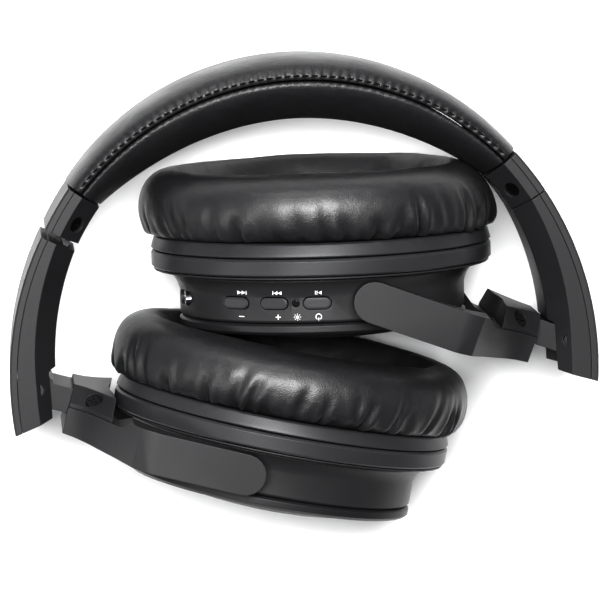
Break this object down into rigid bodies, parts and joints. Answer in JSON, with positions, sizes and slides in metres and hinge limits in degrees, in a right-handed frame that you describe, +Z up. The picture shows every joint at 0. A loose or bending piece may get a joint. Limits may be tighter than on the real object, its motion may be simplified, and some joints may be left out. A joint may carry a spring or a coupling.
{
  "type": "folding over-ear headphones",
  "caption": "Folding wireless over-ear headphones lying folded: padded headband, sliding arms, folding forks, tilting oval cups, soft ear cushions and press buttons.",
  "frame": {"origin": "middle of the footprint, on the table the headphones lie on", "axes": "+Z up off the table, +Y towards the crown of the headband, +X towards the right arm, which carries the cup with the buttons"},
  "size_m": [0.1626, 0.1318, 0.08],
  "materials": {
    "steel": "brushed",
    "headband_leather": "fine grain, satin",
    "cushion_leather": "fine grain, semi-gloss",
    "shell_plastic": "satin, fine texture",
    "moulded_plastic": "satin",
    "housing_plastic": "satin, fine texture",
    "rim_plastic": "satin",
    "plate_plastic": "satin",
    "disc_plastic": "semi-gloss",
    "driver_metal": "satin",
    "scrim_cloth": "woven",
    "button_plastic": "semi-gloss",
    "lens_plastic": "gloss",
    "socket_metal": "satin",
    "jack_plastic": "satin",
    "board_resin": "solder mask",
    "cell_foil": "foil"
  },
  "bodies": {
    "headband": {"headband_cover": "headband_leather", "headband_pad": "headband_leather", "headband_spring": "steel", "left_cap_shell": "shell_plastic", "left_cap_cover": "moulded_plastic", "left_cap_screw_top": "steel", "left_cap_screw_under": "steel", "right_cap_shell": "shell_plastic", "right_cap_cover": "moulded_plastic", "right_cap_screw_top": "steel", "right_cap_screw_under": "steel"},
    "left_arm": {"left_slider_strip": "steel", "left_arm_shell": "shell_plastic", "left_arm_housing": "moulded_plastic", "left_fold_pin": "steel"},
    "left_fork": {"left_fork_knuckle": "moulded_plastic", "left_fork_shell": "shell_plastic", "left_fork_cover": "moulded_plastic", "left_fork_screw_top": "steel", "left_fork_screw_under": "steel"},
    "left_cup": {"left_cup_housing": "housing_plastic", "left_cup_rim": "rim_plastic", "left_cup_flange": "rim_plastic", "left_cup_baffle": "rim_plastic", "left_cup_driver": "driver_metal", "left_cup_scrim": "scrim_cloth", "left_ear_cushion": "cushion_leather", "left_back_plate": "plate_plastic", "left_centre_disc": "disc_plastic", "left_pivot_pin_top": "steel", "left_pivot_pin_under": "steel"},
    "right_arm": {"right_slider_strip": "steel", "right_arm_shell": "shell_plastic", "right_arm_housing": "moulded_plastic", "right_fold_pin": "steel"},
    "right_fork": {"right_fork_knuckle": "moulded_plastic", "right_fork_shell": "shell_plastic", "right_fork_cover": "moulded_plastic", "right_fork_screw_top": "steel", "right_fork_screw_under": "steel"},
    "right_cup": {"right_cup_housing": "housing_plastic", "right_cup_rim": "rim_plastic", "right_cup_flange": "rim_plastic", "right_cup_baffle": "rim_plastic", "right_cup_driver": "driver_metal", "right_cup_scrim": "scrim_cloth", "right_ear_cushion": "cushion_leather", "right_back_plate": "plate_plastic", "right_centre_disc": "disc_plastic", "right_pivot_pin_top": "steel", "right_pivot_pin_under": "steel", "status_lens": "lens_plastic", "charging_socket": "socket_metal", "audio_jack": "jack_plastic", "circuit_board": "board_resin", "battery": "cell_foil"},
    "previous_button": {"previous_button": "button_plastic"},
    "next_button": {"next_button": "button_plastic"},
    "play_button": {"play_button": "button_plastic"}
  },
  "joints": [
    {"name": "left_slide", "type": "slide", "parent": "headband", "child": "left_arm", "axis": [-0.4977, -0.8673, 0], "range_m": [0, 0.0161]},
    {"name": "right_slide", "type": "slide", "parent": "headband", "child": "right_arm", "axis": [0.4977, -0.8673, 0], "range_m": [0, 0.0161]},
    {"name": "left_fold", "type": "hinge", "parent": "left_arm", "child": "left_fork", "pos_m": [-0.07387, -0.02013, 0.04], "axis": [0, 0, -1], "range_deg": [0, 52]},
    {"name": "right_fold", "type": "hinge", "parent": "right_arm", "child": "right_fork", "pos_m": [0.07387, -0.01848, 0.04], "axis": [0, 0, 1], "range_deg": [-0.3, 0.6]},
    {"name": "left_tilt", "type": "hinge", "parent": "left_fork", "child": "left_cup", "pos_m": [-0.02001, -0.04389, 0.04], "axis": [0, 0, 1], "range_deg": [-1.6, 3]},
    {"name": "right_tilt", "type": "hinge", "parent": "right_fork", "child": "right_cup", "pos_m": [0.01791, -0.0002, 0.04], "axis": [0, 0, 1], "range_deg": [-4, 1.5]},
    {"name": "previous_press", "type": "slide", "parent": "right_cup", "child": "previous_button", "axis": [0.5396, -0.0245, -0.8416], "range_m": [0, 0.0005], "stiffness_N_per_m": 900, "springref_m": -0.0003},
    {"name": "next_press", "type": "slide", "parent": "right_cup", "child": "next_button", "axis": [0.3082, -0.014, -0.9512], "range_m": [0, 0.0005], "stiffness_N_per_m": 900, "springref_m": -0.0003},
    {"name": "play_press", "type": "slide", "parent": "right_cup", "child": "play_button", "axis": [0.0771, -0.0035, -0.997], "range_m": [0, 0.0005], "stiffness_N_per_m": 900, "springref_m": -0.0003}
  ],
  "couplings": [
    {"joint": "right_slide", "follows": "left_slide", "ratio": 1}
  ]
}
